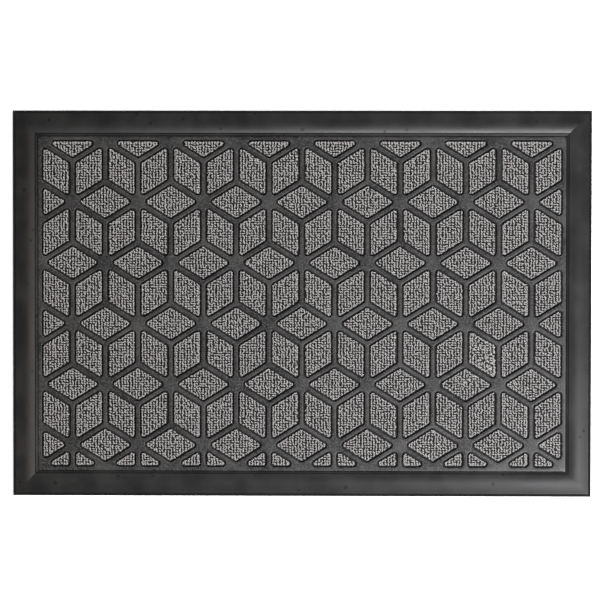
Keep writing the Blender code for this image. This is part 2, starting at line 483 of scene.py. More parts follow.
@dataclass(frozen=True)
class BlockPattern:
    """The tumbling-block lattice.

    Attributes:
        column_pitch: between two lattice points in a row.
        rib_rise: how far a slanting rib rises over half of that.
        first_row_drop: from the field's top edge to the first row.
        rib_width: of a rib, between two windows.
        window_radius: of a window's corners.
        groove_width: between a window's edge and its pad.
    """

    column_pitch: float = 67.9 * MM
    rib_rise: float = 21.01 * MM
    first_row_drop: float = 3.1 * MM
    rib_width: float = 3.75 * MM
    window_radius: float = 4.0 * MM
    groove_width: float = 1.6 * MM

    def pad_radius(self) -> float:
        """Returns the radius of a pad's corners, whose arcs share the window's centres."""
        return self.window_radius - self.groove_width

    def block(self, x: float, y: float) -> list[tuple[Loop, bool]]:
        """Draws the block at a lattice point.

        Args:
            x: place of the point.
            y: place of the point.

        Returns:
            The outlines of its three faces, and whether each hangs from the point.
        """
        half, rise = self.column_pitch / 2, self.rib_rise
        right = [(x, y), (x, y - 2 * rise), (x + half, y - 3 * rise), (x + half, y - rise)]
        left = [(x, y), (x - half, y - rise), (x - half, y - 3 * rise), (x, y - 2 * rise)]
        top = [(x, y), (x + half, y - rise), (x + 2 * half, y), (x + half, y + rise)]
        return [(right, True), (left, True), (top, False)]

    def cells(self, half_x: float, half_y: float) -> list[Cell]:
        """Lays the pattern over the field.

        Args:
            half_x: half the field's length.
            half_y: half the field's width.

        Returns:
            The cells that keep a core inside the field.
        """
        shortest = 0.3 * MM
        columns = math.ceil(half_x / self.column_pitch) + 1
        rows = math.ceil(2 * half_y / (3 * self.rib_rise)) + 1
        sides = [((-half_x, 0), (1, 0)), ((half_x, 0), (-1, 0))]
        sides += [((0, -half_y), (0, 1)), ((0, half_y), (0, -1))]
        found = []
        for row in range(-1, rows):
            y = half_y - self.first_row_drop - row * 3 * self.rib_rise
            shift = self.column_pitch / 2 if row % 2 else 0.0
            for column in range(-columns, columns + 1):
                for outline, hangs in self.block(column * self.column_pitch + shift, y):
                    for origin, inward in sides:
                        outline = keep_inside(outline, origin, inward)
                    outline = without_short_sides(outline, shortest)
                    if len(outline) < 3:
                        continue
                    core = shrink(outline, self.rib_width / 2 + self.window_radius)
                    core = without_short_sides(core, shortest)
                    if len(core) > 2:
                        found.append(Cell(tuple(core), row, hangs))
        return found


# ---------------------------------------------------------------- meshes


def add_piece(name: str, mesh: bpy.types.Mesh, material: bpy.types.Material) -> bpy.types.Object:
    """Makes an object of the mat, which rides on its one body.

    Args:
        name: the piece's name.
        mesh: its mesh.
        material: its finish.

    Returns:
        The object.
    """
    piece = bpy.data.objects.new(name, mesh)
    bpy.context.scene.collection.objects.link(piece)
    mesh.materials.append(material)
    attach(piece, BODY)
    log.info("%s: %d faces", name, len(mesh.polygons))
    return piece


def mesh_of(name: str, points: list, faces: list, sharp_degrees: float = 40.0) -> bpy.types.Mesh:
    """Makes a smooth-shaded mesh whose faces point out.

    Args:
        name: the mesh's name.
        points: its vertices.
        faces: its faces.
        sharp_degrees: edges sharper than this stay sharp.

    Returns:
        The mesh.
    """
    mesh = bpy.data.meshes.new(name)
    mesh.from_pydata(points, [], faces)
    bm = bmesh.new()
    bm.from_mesh(mesh)
    bmesh.ops.remove_doubles(bm, verts=bm.verts, dist=0.001 * MM)
    bmesh.ops.recalc_face_normals(bm, faces=bm.faces)
    bm.to_mesh(mesh)
    bm.free()
    mesh.shade_smooth()
    mesh.set_sharp_from_angle(angle=math.radians(sharp_degrees))
    return mesh


def swell(x: float, y: float, size: float, seed: float) -> float:
    """Returns soft noise from -1 to 1 at a place, given the size of one swell and which noise it is."""
    return noise.noise(Vector((x / size, y / size, seed)))


class Solid:
    """Gathers the points and faces of one piece, as rings that are joined to each other or filled."""

    def __init__(self) -> None:
        """Starts empty."""
        self.points: list[tuple[float, float, float]] = []
        self.faces: list[tuple[int, ...]] = []

    def ring(self, loop: Loop, z: float | list[float]) -> list[int]:
        """Adds a ring of points.

        Args:
            loop: the ring seen from above.
            z: its height, or a height for each point.

        Returns:
            The points' numbers.
        """
        heights = z if isinstance(z, list) else [z] * len(loop)
        first = len(self.points)
        self.points += [(x, y, h) for (x, y), h in zip(loop, heights)]
        return list(range(first, first + len(loop)))

    def chain(self, rings: list[list[int]], closed: bool = False) -> None:
        """Joins each ring to the next one with a band of faces.

        Args:
            rings: rings of as many points each.
            closed: whether the last is joined to the first too.
        """
        following = rings[1:] + (rings[:1] if closed else [])
        for ring, other in zip(rings, following):
            for i, a in enumerate(ring):
                j = (i + 1) % len(ring)
                self.faces.append((a, ring[j], other[j], other[i]))

    def fill(self, rings: list[list[int]], holes: list[list[int]]) -> None:
        """Fills between rings that lie in nearly one plane.

        Args:
            rings: outer rings.
            holes: rings that stay open.
        """
        numbers = [n for ring in rings + holes for n in ring]
        flat = [Vector(self.points[n][:2]) for n in numbers]
        starts = np.cumsum([0] + [len(ring) for ring in rings + holes])
        loops = [list(range(a, b)) for a, b in zip(starts, starts[1:])]
        found = geometry.delaunay_2d_cdt(flat, [], loops, 1, 1e-7)
        vertices, _, faces, source, _, owners = found
        hole_numbers = set(range(len(rings), len(rings) + len(holes)))
        lookup = [numbers[s[0]] if s else -1 for s in source]
        for face, owner in zip(faces, owners):
            if hole_numbers.isdisjoint(owner) and all(lookup[v] >= 0 for v in face):
                self.faces.append(tuple(lookup[v] for v in face))

    def mesh(self, name: str, sharp_degrees: float = 40.0) -> bpy.types.Mesh:
        """Returns the piece's mesh, in which edges sharper than the angle stay sharp."""
        return mesh_of(name, self.points, self.faces, sharp_degrees)


# ---------------------------------------------------------------- the mat


@dataclass(frozen=True)
class Layout:
    """Places that every piece shares, read from the frame.

    Attributes:
        half_x: half the mat's length.
        half_y: half the mat's width.
        backing_top: height of the backing sheet's top.
        border_inset: outer edge of the border, in from the mat's edge.
        border_foot: height of its underside.
        border_crest: its highest line.
        carpet_inset: edge of the carpet, in from the mat's edge.
        cloth_bottom: height of the cloth's underside.
        pad_top: height of the pads.
        panel_inset: edge of the lattice panel, in from the mat's edge.
        panel_bottom: height of its underside.
        panel_top: height of its face.
    """

    half_x: float
    half_y: float
    backing_top: float
    border_inset: float
    border_foot: float
    border_crest: float
    carpet_inset: float
    cloth_bottom: float
    pad_top: float
    panel_inset: float
    panel_bottom: float
    panel_top: float

    @classmethod
    def from_frame(cls) -> "Layout":
        """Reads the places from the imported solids.

        Returns:
            The layout.
        """
        _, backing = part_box("backing_sheet")
        border_low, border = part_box("border_frame")
        carpet_low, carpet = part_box("carpet_sheet")
        panel_low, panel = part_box("lattice_panel")
        return cls(
            half_x=backing.x,
            half_y=backing.y,
            backing_top=backing.z,
            border_inset=backing.x - border.x,
            border_foot=border_low.z,
            border_crest=border.z,
            carpet_inset=backing.x - carpet.x,
            cloth_bottom=carpet_low.z,
            pad_top=carpet.z,
            panel_inset=backing.x - panel.x,
            panel_bottom=panel_low.z,
            panel_top=panel.z,
        )

    def outline(self, inset: float, run: float) -> Loop:
        """Draws a rectangle that follows the mat's edge, with points along its sides.

        Args:
            inset: how far in from the edge.
            run: spacing of the points at the edge; their number doesn't depend on the inset.

        Returns:
            The points, anticlockwise from the lower left corner.
        """
        x, y = self.half_x - inset, self.half_y - inset
        corners = [(-x, -y), (x, -y), (x, y), (-x, y)]
        counts = [math.ceil(2 * self.half_x / run), math.ceil(2 * self.half_y / run)] * 2
        loop: Loop = []
        for i, count in enumerate(counts):
            a, b = corners[i], corners[(i + 1) % 4]
            for k in range(count):
                loop.append((a[0] + (b[0] - a[0]) * k / count, a[1] + (b[1] - a[1]) * k / count))
        return loop


@dataclass
class BackingSheet:
    """Rubber sheet under the whole mat; its edge shows as a thin lip, and its underside has low studs.

    Attributes:
        layout: shared places.
        edge_radius: of its rounded edges.
        bead_inset: where a fine bead runs round the lip.
        bead_height: height of that bead.
        rim_width: flat band round the underside.
        stud_height: depth of the studs, and of the hollow between them.
        stud_radius: of a stud's face.
        stud_pitch: between two studs.
        stud_sides: sides of a stud.
        stud_root: how far a stud sinks into the sheet.
        wander: how far the trimmed edge strays from straight.
    """

    layout: Layout
    edge_radius: float = 0.5 * MM
    bead_inset: float = 2.0 * MM
    bead_height: float = 0.12 * MM
    rim_width: float = 7.0 * MM
    stud_height: float = 0.7 * MM
    stud_radius: float = 1.7 * MM
    stud_pitch: float = 12.0 * MM
    stud_sides: int = 12
    stud_root: float = 0.2 * MM
    wander: float = 0.05 * MM

    def section(self) -> list[Point]:
        """Draws the section from the middle of the top, over the edge, to the hollow underside.

        Returns:
            Its points as (inset, height).
        """
        top, r = self.layout.backing_top, self.edge_radius
        points = [(self.bead_inset + 2.5 * r, top), (self.bead_inset + r, top)]
        for step in range(1, 6):
            share = step / 6
            bead = self.bead_height * math.sin(math.pi * share)
            points.append((self.bead_inset + r - 2 * r * share, top + bead))
        points.append((self.bead_inset - r, top))
        for step in range(6):
            angle = math.pi / 2 * step / 5
            points.append((r - r * math.sin(angle), top - r + r * math.cos(angle)))
        points += [(0.0, 0.15 * MM), (0.15 * MM, 0.0), (self.rim_width, 0.0)]
        points += [(self.rim_width + 0.3 * MM, 0.2 * MM), (self.rim_width + 0.5 * MM, self.stud_height)]
        return points

    def build(self) -> bpy.types.Mesh:
        """Makes the sheet.

        Returns:
            Its mesh.
        """
        solid = Solid()
        rings = []
        for inset, height in self.section():
            loop = self.layout.outline(inset, 8 * MM)
            wander = [self.wander * swell(x, y, 35 * MM, 3.0) if inset < 1 * MM else 0.0 for x, y in loop]
            shares = [(1 - w / self.layout.half_x, 1 - w / self.layout.half_y) for w in wander]
            loop = [(x * a, y * b) for (x, y), (a, b) in zip(loop, shares)]
            rings.append(solid.ring(loop, height))
        solid.chain(rings)
        solid.fill([rings[0]], [])
        solid.fill([rings[-1]], [])
        return solid.mesh("backing_sheet_rubber")

    def build_studs(self) -> bpy.types.Mesh:
        """Makes the studs, whose faces lie on the floor and whose roots sink into the sheet.

        Returns:
            Their mesh.
        """
        section = [
            (self.stud_radius + 0.35 * MM, self.stud_height + self.stud_root),
            (self.stud_radius + 0.35 * MM, self.stud_height),
            (self.stud_radius + 0.1 * MM, 0.25 * MM),
            (self.stud_radius - 0.15 * MM, 0.0),
        ]
        solid = Solid()
        reach_x = self.layout.half_x - self.rim_width - 5 * MM
        reach_y = self.layout.half_y - self.rim_width - 5 * MM
        row_pitch = self.stud_pitch * 0.5 * math.sqrt(3)
        rows = int(reach_y / row_pitch)
        columns = int(reach_x / self.stud_pitch)
        turns = [2 * math.pi * k / self.stud_sides for k in range(self.stud_sides)]
        for row in range(-rows, rows + 1):
            y = row * row_pitch
            shift = self.stud_pitch / 2 if row % 2 else 0.0
            for column in range(-columns, columns + 1):
                x = column * self.stud_pitch + shift
                if abs(x) > reach_x:
                    continue
                rings = []
                for radius, height in section:
                    circle = [(x + radius * math.cos(t), y + radius * math.sin(t)) for t in turns]
                    rings.append(solid.ring(circle, height))
                solid.chain(rings)
                solid.faces.append(tuple(rings[0]))
                solid.faces.append(tuple(rings[-1]))
        return solid.mesh("anti_slip_studs_rubber")

    def dress(self, rubber: bpy.types.Material) -> list[bpy.types.Object]:
        """Makes the sheet and its studs as pieces.

        Args:
            rubber: their finish.

        Returns:
            The two pieces.
        """
        sheet = add_piece("backing_sheet_moulded", self.build(), rubber)
        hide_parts("backing_sheet")
        studs = add_piece("backing_sheet_studs", self.build_studs(), rubber)
        return [sheet, studs]


@dataclass
class BorderFrame:
    """Moulded border: a flat toe, a hollow ramp, a crest, a step and a ledge, mitred at the corners.

    Attributes:
        layout: shared places.
        toe_height: of the toe's nose.
        toe_run: width of the toe.
        toe_rise: how far it climbs.
        cove_run: width of the hollow ramp.
        crest_width: width of the crest.
        step_drop: from the crest to the ledge.
        groove: depth and width of the fine groove behind the crest.
        ledge_fall: how far the ledge falls away inwards.
        seam: between the ledge and the edge that the panel has in the frame.
        tuck: between its inner wall and the carpet.
        unevenness: how far the moulding strays from true.
        mitre_degrees: smallest crease that stays sharp, so that the mitres do.
    """

    layout: Layout
    toe_height: float = 0.4 * MM
    toe_run: float = 8.0 * MM
    toe_rise: float = 0.45 * MM
    cove_run: float = 12.2 * MM
    crest_width: float = 0.45 * MM
    step_drop: float = 0.42 * MM
    groove: float = 0.36 * MM
    ledge_fall: float = 0.24 * MM
    seam: float = 0.1 * MM
    tuck: float = 0.3 * MM
    unevenness: float = 0.07 * MM
    mitre_degrees: float = 12.0

    def section(self) -> list[Point]:
        """Draws the section once round: toe, hollow ramp, crest, groove, ledge and inner wall.

        Returns:
            Its points as (inset, height).
        """
        foot, crest = self.layout.border_foot, self.layout.border_crest
        start = self.layout.border_inset
        toe = foot + self.toe_height
        rise = crest - toe - self.toe_rise
        toe_slope = math.atan2(2 * self.toe_rise, self.toe_run)
        crest_slope = 2 * math.atan2(rise, self.cove_run) - toe_slope
        radius = self.cove_run / (math.sin(crest_slope) - math.sin(toe_slope))
        points = [(start + 0.1 * MM, foot), (start, foot + 0.1 * MM), (start, toe - 0.15 * MM)]
        points += [(start + 0.08 * MM, toe - 0.04 * MM), (start + 0.3 * MM, toe)]
        for step in range(1, 8):
            points.append((start + self.toe_run * step / 8, toe + self.toe_rise * (step / 8) ** 2))
        for step in range(19):
            slope = toe_slope + (crest_slope - toe_slope) * step / 18
            run = radius * (math.sin(slope) - math.sin(toe_slope))
            lift = radius * (math.cos(toe_slope) - math.cos(slope))
            points.append((start + self.toe_run + run, toe + self.toe_rise + lift))
        inset = start + self.toe_run + self.cove_run
        ledge = crest - self.step_drop
        wide = self.crest_width
        points += [
            (inset + 0.3 * wide, crest + 0.06 * MM),
            (inset + 0.7 * wide, crest + 0.02 * MM),
            (inset + wide, crest - 0.2 * MM),
            (inset + wide + 0.1 * MM, ledge - 0.8 * self.groove),
            (inset + wide + 0.1 * MM + 0.5 * self.groove, ledge - 1.6 * self.groove),
            (inset + wide + 0.1 * MM + self.groove, ledge - 0.15 * MM),
            (inset + wide + 0.3 * MM + self.groove, ledge),
        ]
        end = self.layout.panel_inset - self.seam
        points += [
            (end - 0.45 * MM, ledge - self.ledge_fall),
            (end - 0.15 * MM, ledge - self.ledge_fall - 0.1 * MM),
            (end, ledge - self.ledge_fall - 0.4 * MM),
            (end, self.layout.panel_bottom),
            (self.layout.carpet_inset - self.tuck, self.layout.panel_bottom),
            (self.layout.carpet_inset - self.tuck, foot),
        ]
        return points

    def build(self) -> bpy.types.Mesh:
        """Makes the border.

        Returns:
            Its mesh.
        """
        solid = Solid()
        rings = []
        tall = self.layout.border_crest - self.layout.border_foot
        for inset, height in self.section():
            loop = self.layout.outline(inset, 5 * MM)
            stray = self.unevenness * (height - self.layout.border_foot) / tall
            heights = []
            for x, y in loop:
                bumps = swell(x, y, 45 * MM, 1.0) + 0.4 * swell(x, y, 11 * MM, 2.0)
                heights.append(height + stray * bumps)
            rings.append(solid.ring(loop, heights))
        solid.chain(rings, closed=True)
        return solid.mesh("border_frame_rubber", self.mitre_degrees)

    def dress(self, rubber: bpy.types.Material) -> bpy.types.Object:
        """Makes the border as a piece.

        Args:
            rubber: its finish.

        Returns:
            The piece.
        """
        piece = add_piece("border_frame_moulded", self.build(), rubber)
        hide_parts("border_frame")
        return piece


@dataclass
class LatticePanel:
    """Rubber grid with a rounded window for each pad; its ribs have rounded shoulders and a low crown.

    Attributes:
        layout: shared places.
        pattern: the lattice.
        cells: the windows.
        shoulder: radius of a rib's shoulders.
        edge_fall: how far the face falls away at the panel's edge.
        edge_run: over what width it does.
        crown: how far a rib's middle stands up.
        unevenness: how far the face strays from true.
        seam: how much further in the panel's edge lies than in the frame, so that the seam shows.
        edge_tightness: width of the edge's shoulder, as a share of a rib's.
    """

    layout: Layout
    pattern: BlockPattern
    cells: list[Cell]
    shoulder: float = 0.55 * MM
    edge_fall: float = 0.12 * MM
    edge_run: float = 5.5 * MM
    crown: float = 0.06 * MM
    unevenness: float = 0.08 * MM
    seam: float = 0.35 * MM
    edge_tightness: float = 0.4

    def build(self) -> bpy.types.Mesh:
        """Makes the panel.

        Returns:
            Its mesh.
        """
        low, top = self.layout.panel_bottom, self.layout.panel_top
        r = self.shoulder
        section = [(0.0, low), (0.0, top - r)]
        for step in range(1, 5):
            angle = math.pi / 2 * step / 4
            section.append((r - r * math.cos(angle), top - r + r * math.sin(angle)))
        section.append((1.25 * MM, top + self.crown))
        solid = Solid()
        bottoms, tops = [], []
        for cell in self.cells:
            rings = []
            for out, height in section:
                loop = grow(list(cell.core), self.pattern.window_radius + out, 7, 5 * MM)
                rings.append(solid.ring(loop, self.heights(loop, height)))
            solid.chain(rings)
            bottoms.append(rings[0])
            tops.append(rings[-1])
        edge = []
        for out, height in section:
            inset = self.layout.panel_inset + self.seam + self.edge_tightness * out
            loop = self.layout.outline(inset, 5 * MM)
            edge.append(solid.ring(loop, self.heights(loop, height)))
        solid.chain(edge)
        solid.fill([edge[0]], bottoms)
        solid.fill([edge[-1]], tops)
        return solid.mesh("lattice_panel_rubber")

    def heights(self, loop: Loop, height: float) -> list[float]:
        """Makes the face a little uneven, and leaves what lies below it true.

        Args:
            loop: a ring of points.
            height: its height before that.

        Returns:
            A height for each point.
        """
        thickness = self.layout.panel_top - self.layout.panel_bottom
        share = max(0.0, (height - self.layout.panel_bottom) / thickness)
        stray = self.unevenness * share**2
        edge_x, edge_y = (half - self.layout.panel_inset for half in (self.layout.half_x, self.layout.half_y))
        heights = []
        for x, y in loop:
            inside = min(edge_x - abs(x), edge_y - abs(y))
            fall = self.edge_fall * share**2 * max(0.0, 1 - inside / self.edge_run)
            bumps = swell(x, y, 18 * MM, 5.0) + 0.5 * swell(x, y, 5 * MM, 6.0)
            heights.append(height + stray * bumps - fall)
        return heights

    def dress(self, rubber: bpy.types.Material) -> bpy.types.Object:
        """Makes the panel as a piece.

        Args:
            rubber: its finish.

        Returns:
            The piece.
        """
        piece = add_piece("lattice_panel_moulded", self.build(), rubber)
        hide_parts("lattice_panel")
        return piece


@dataclass
class CarpetCloth:
    """The carpet's backing cloth: flat under the ribs, and pushed up into a low mound under each pad.

    Attributes:
        layout: shared places.
        pattern: the lattice.
        cells: the pads.
        thickness: of the cloth.
        mound: height of a mound above the cloth.
    """

    layout: Layout
    pattern: BlockPattern
    cells: list[Cell]
    thickness: float = 1.2 * MM
    mound: float = 1.5 * MM

    def top(self) -> float:
        """Returns the height of the cloth's flat top."""
        return self.layout.cloth_bottom + self.thickness

    def build(self) -> bpy.types.Mesh:
        """Makes the cloth.

        Returns:
            Its mesh.
        """
        solid = Solid()
        pad = self.pattern.pad_radius()
        section = [
            (pad + 0.2 * MM, 0.0),
            (pad - 0.1 * MM, 0.35 * self.mound),
            (pad - 0.5 * MM, 0.8 * self.mound),
            (pad - 1.1 * MM, self.mound),
        ]
        holes = []
        for cell in self.cells:
            rings = []
            for radius, lift in section:
                loop = grow(list(cell.core), radius, 5, 8 * MM)
                rings.append(solid.ring(loop, self.top() + lift))
            solid.chain(rings)
            solid.fill([rings[-1]], [])
            holes.append(rings[0])
        edge = self.layout.outline(self.layout.carpet_inset, 12 * MM)
        upper = solid.ring(edge, self.top())
        lower = solid.ring(edge, self.layout.cloth_bottom)
        solid.chain([upper, lower])
        solid.fill([upper], holes)
        solid.fill([lower], [])
        return solid.mesh("carpet_backing_cloth")

    def dress(self, cloth: bpy.types.Material) -> bpy.types.Object:
        """Makes the cloth as a piece.

        Args:
            cloth: its finish.

        Returns:
            The piece.
        """
        piece = add_piece("carpet_sheet_cloth", self.build(), cloth)
        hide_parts("carpet_sheet")
        return piece


@dataclass
class CarpetPile:
    """The loops: tufted in straight lines a gauge apart, then crushed and splayed by the mould.

    Attributes:
        layout: shared places.
        pattern: the lattice.
        cells: the pads.
        root: height that the loops start from.
        gauge: between two lines of loops.
        stitch: between two loops in a line.
        yarn_radius: of the yarn.
        half_span: half the width of a loop's arch.
        lean: how far a loop's top strays sideways.
        scuffed: middle of the one pad that feet have roughed up.
        scuff_reach: how far that reaches.
        bearing: mean direction of the arches, which all lean the same way across the tufting lines.
        swing: how far single arches turn from it.
        ply: how strongly the section is pinched between the yarn's two plies.
        twist_pitch: length of one turn of the plies.
        scatter: how far a loop's foot strays.
        wander: how far a tufting line strays from straight.
        rim_sink: how much lower the loops at a pad's rim are.
    """

    layout: Layout
    pattern: BlockPattern
    cells: list[Cell]
    root: float
    gauge: float = 3.003 * MM
    stitch: float = 2.51 * MM
    yarn_radius: float = 0.64 * MM
    half_span: float = 0.82 * MM
    lean: float = 0.34 * MM
    scatter: float = 0.20 * MM
    wander: float = 0.35 * MM
    rim_sink: float = 1.1 * MM
    scuffed: Point = (185 * MM, -52 * MM)
    scuff_reach: float = 12 * MM
    bearing: float = math.radians(130)
    swing: float = 0.34
    ply: float = 0.20
    twist_pitch: float = 4.8 * MM

    SIDES = 8
    RINGS = 11

    def arch(self) -> np.ndarray:
        """Draws the centre line of a loop.

        Returns:
            Its points: across in half spans, height as a share of the loop's, and thickness in radii.
        """
        turn = np.linspace(0, math.pi, self.RINGS)
        rise = np.sin(turn)
        # Powers under 1 square the arch up, so that its legs stand and its top is broad.
        across = -np.sign(np.cos(turn)) * np.abs(np.cos(turn)) ** 0.7 * (0.8 + 0.35 * rise)
        return np.stack([across, np.maximum(rise, 0) ** 0.7, 0.85 + 0.15 * rise], axis=1)

    def yarn_length(self) -> float:
        """Returns about how long a loop's yarn is."""
        return 2 * (self.layout.pad_top - self.root) + 2 * self.half_span

    def is_scuffed(self, cell: Cell) -> bool:
        """Returns whether feet have roughed up this pad."""
        return math.dist(cell.centre(), self.scuffed) < self.scuff_reach

    def feet(self, cell: Cell, rng: np.random.Generator) -> tuple[np.ndarray, np.ndarray, np.ndarray]:
        """Finds the loops of a pad.

        Args:
            cell: the pad.
            rng: source of the scatter.

        Returns:
            The loops' places, how far each lies inside the pad's edge, and the way out of the pad.
        """
        radius = self.pattern.pad_radius()
        corners = np.array(cell.core)
        low, high = corners.min(0) - radius - self.gauge, corners.max(0) + radius + self.gauge
        columns = np.arange(math.floor(low[0] / self.gauge), math.ceil(high[0] / self.gauge) + 1)
        stitches = np.arange(math.floor(low[1] / self.stitch), math.ceil(high[1] / self.stitch) + 1)
        grid = np.stack(np.meshgrid(columns, stitches, indexing="ij"), axis=-1).reshape(-1, 2)
        places = grid * (self.gauge, self.stitch)
        places = places + rng.normal(0, self.scatter * (1.8 if self.is_scuffed(cell) else 1.0), places.shape)
        places[:, 0] += [self.wander * swell(x, y, 7 * MM, 13.0) for x, y in places]
        signed, away = cell.depth(places)
        depth = radius - signed
        taken = depth > -0.2 * self.gauge
        places, depth, away = places[taken], depth[taken], away[taken]
        short = np.maximum(0, self.yarn_radius * 1.6 - depth)
        places = places - away * short[:, None]
        return places, np.maximum(depth, self.yarn_radius), away

    def loops(self, cell: Cell, rng: np.random.Generator) -> tuple[np.ndarray, ...]:
        """Works out the centre lines of a pad's loops.

        Args:
            cell: the pad.
            rng: source of the scatter.

        Returns:
            The centre lines (loops by points by 3), the sideways directions and the radii.
        """
        places, depth, away = self.feet(cell, rng)
        count = len(places)
        drift = np.array([swell(x, y, 8 * MM, 9.0) for x, y in places])
        yaw = self.bearing + 1.2 * drift + rng.normal(0, self.swing, count)
        along = np.stack([np.cos(yaw), np.sin(yaw)], axis=1)
        rim = np.clip(1 - (depth - self.yarn_radius) / (1.6 * self.half_span), 0, 1)
        edge = np.stack([-away[:, 1], away[:, 0]], axis=1)
        edge = edge * np.sign((edge * along).sum(axis=1) + 1e-9)[:, None]
        along = along * (1 - rim)[:, None] + edge * rim[:, None]
        along = along / np.linalg.norm(along, axis=1, keepdims=True)
        sideways = np.stack([-along[:, 1], along[:, 0]], axis=1)
        dip = np.array([swell(x, y, 14 * MM, 11.0) for x, y in places])
        tall = self.layout.pad_top - self.root + 0.22 * MM * dip + rng.normal(0, 0.16 * MM, count)
        tall = tall - self.rim_sink * rim**1.5
        radius = self.yarn_radius * np.clip(rng.normal(1, 0.09, count), 0.75, 1.25)
        span = self.half_span * np.clip(rng.normal(1, 0.15, count), 0.6, 1.5)
        top = rng.normal(0, self.lean, (count, 2)) * (1 - 0.7 * rim)[:, None]
        top = top - away * (0.2 * MM * rim)[:, None]
        arch = self.arch()
        if self.is_scuffed(cell):
            side = np.clip((places[:, 0] - cell.centre()[0]) / self.scuff_reach, 0, 1)
            top = top * 1.5 + np.array([0.7 * MM, -0.1 * MM]) * (0.3 + side)[:, None]
            radius = radius * (1.05 + 0.3 * side)
            tall = tall + 0.3 * MM * side
        skew = rng.normal(0, 0.3, count)
        line = np.zeros((count, len(arch), 3))
        rise = arch[:, 1] ** 1.5
        for axis in (0, 1):
            line[:, :, axis] = (
                places[:, None, axis]
                + along[:, None, axis] * span[:, None] * arch[None, :, 0]
                + sideways[:, None, axis] * (skew * span)[:, None] * arch[None, :, 0]
                + top[:, None, axis] * rise[None]
            )
        line[:, :, 2] = self.root - 0.2 * MM + (tall - radius + 0.2 * MM)[:, None] * arch[None, :, 1]
        thick = radius[:, None] * arch[None, :, 2]
        return line, sideways, thick

    def mesh(self, name: str, cells: list[Cell], rng: np.random.Generator) -> bpy.types.Mesh:
        """Makes one mesh of the loops of several pads.

        Args:
            name: the mesh's name.
            cells: the pads.
            rng: source of the scatter.

        Returns:
            The mesh, with the yarn's own coordinates in the UV map "yarn".
        """
        parts = [self.loops(cell, rng) for cell in cells]
        line, side, thick = (np.concatenate([part[i] for part in parts]) for i in range(3))
        count, rings, _ = line.shape
        tangent = np.gradient(line, axis=1)
        tangent /= np.linalg.norm(tangent, axis=2, keepdims=True)
        across = np.concatenate([side, np.zeros((count, 1))], axis=1)[:, None, :]
        normal = np.cross(across, tangent)
        normal /= np.linalg.norm(normal, axis=2, keepdims=True)
        across = np.cross(tangent, normal)
        turn = 2 * math.pi * np.arange(self.SIDES) / self.SIDES
        ring = (
            across[:, :, None, :] * np.cos(turn)[None, None, :, None]
            + normal[:, :, None, :] * np.sin(turn)[None, None, :, None]
        )
        along = np.cumsum(np.linalg.norm(np.diff(line, axis=1, prepend=line[:, :1]), axis=2), axis=1)
        start_turn = rng.uniform(0, math.pi, count)
        phase = start_turn[:, None] + 2 * math.pi * along / self.twist_pitch
        lobes = 1 + self.ply * np.cos(2 * (turn[None, None] - phase[:, :, None]))
        points = line[:, :, None, :] + ring * (thick[:, :, None] * lobes)[..., None]
        first = np.arange(rings - 1)[:, None] * self.SIDES + np.arange(self.SIDES)[None]
        after = np.arange(rings - 1)[:, None] * self.SIDES + (np.arange(self.SIDES)[None] + 1) % self.SIDES
        quads = np.stack([first, after, after + self.SIDES, first + self.SIDES], axis=-1).reshape(-1, 4)
        per_loop = rings * self.SIDES
        start = np.arange(count)[:, None] * per_loop
        walls = (start[:, :, None] + quads[None]).reshape(-1)
        caps = np.concatenate([np.arange(self.SIDES)[::-1], np.arange(per_loop - self.SIDES, per_loop)])
        ends = (start + caps[None]).reshape(-1)
        mesh = bpy.data.meshes.new(name)
        mesh.vertices.add(count * per_loop)
        mesh.vertices.foreach_set("co", points.reshape(-1))
        corners = np.concatenate([walls, ends])
        mesh.loops.add(len(corners))
        mesh.loops.foreach_set("vertex_index", corners)
        cap_starts = len(walls) + np.arange(2 * count) * self.SIDES
        starts = np.concatenate([np.arange(len(walls) // 4) * 4, cap_starts])
        mesh.polygons.add(len(starts))
        mesh.polygons.foreach_set("loop_start", starts)
        mesh.update(calc_edges=True)
        self.unroll(mesh, phase, len(walls), corners)
        mesh.shade_smooth()
        return mesh

    def unroll(self, mesh: bpy.types.Mesh, phase: np.ndarray, walls: int, corners: np.ndarray) -> None:
        """Writes the yarn's coordinates: round it in U, starting at one ply's crown, and along it in V.

        Args:
            mesh: the mesh.
            phase: where the ply's crown lies at each ring of each loop.
            walls: corners that belong to the walls.
            corners: vertex number of every corner.
        """
        rings = phase.shape[1]
        within = corners % (rings * self.SIDES)
        side, ring = within % self.SIDES, within // self.SIDES
        u = side / self.SIDES
        wraps = np.zeros(len(corners), bool)
        wraps[:walls].reshape(-1, 4)[:, 1:3] = u[:walls].reshape(-1, 4)[:, 1:3] == 0
        u = np.where(wraps, 1.0, u) - phase.reshape(-1)[corners // self.SIDES] / (2 * math.pi)
        layer = mesh.uv_layers.new(name="yarn")
        layer.uv.foreach_set("vector", np.stack([u, ring / (rings - 1)], axis=1).reshape(-1))

    def dress(self, yarn: bpy.types.Material) -> list[bpy.types.Object]:
        """Makes the pile as pieces: one for each row of level pads, two for each row of hanging ones.

        Args:
            yarn: its finish.

        Returns:
            The pieces.
        """
        rng = np.random.default_rng(SEED)
        pieces = []
        for row in sorted({cell.row for cell in self.cells}):
            for hangs in (False, True):
                here = [c for c in self.cells if c.row == row and c.hangs == hangs]
                groups = {"level": here}
                if hangs:
                    groups = {
                        "left": [c for c in here if c.centre()[0] < 0],
                        "right": [c for c in here if c.centre()[0] >= 0],
                    }
                for label, cells in groups.items():
                    if not cells:
                        continue
                    name = f"carpet_pile_row_{row + 1}_{label}"
                    pieces.append(add_piece(name, self.mesh(name, cells, rng), yarn))
        return pieces


# ---------------------------------------------------------------- the studio


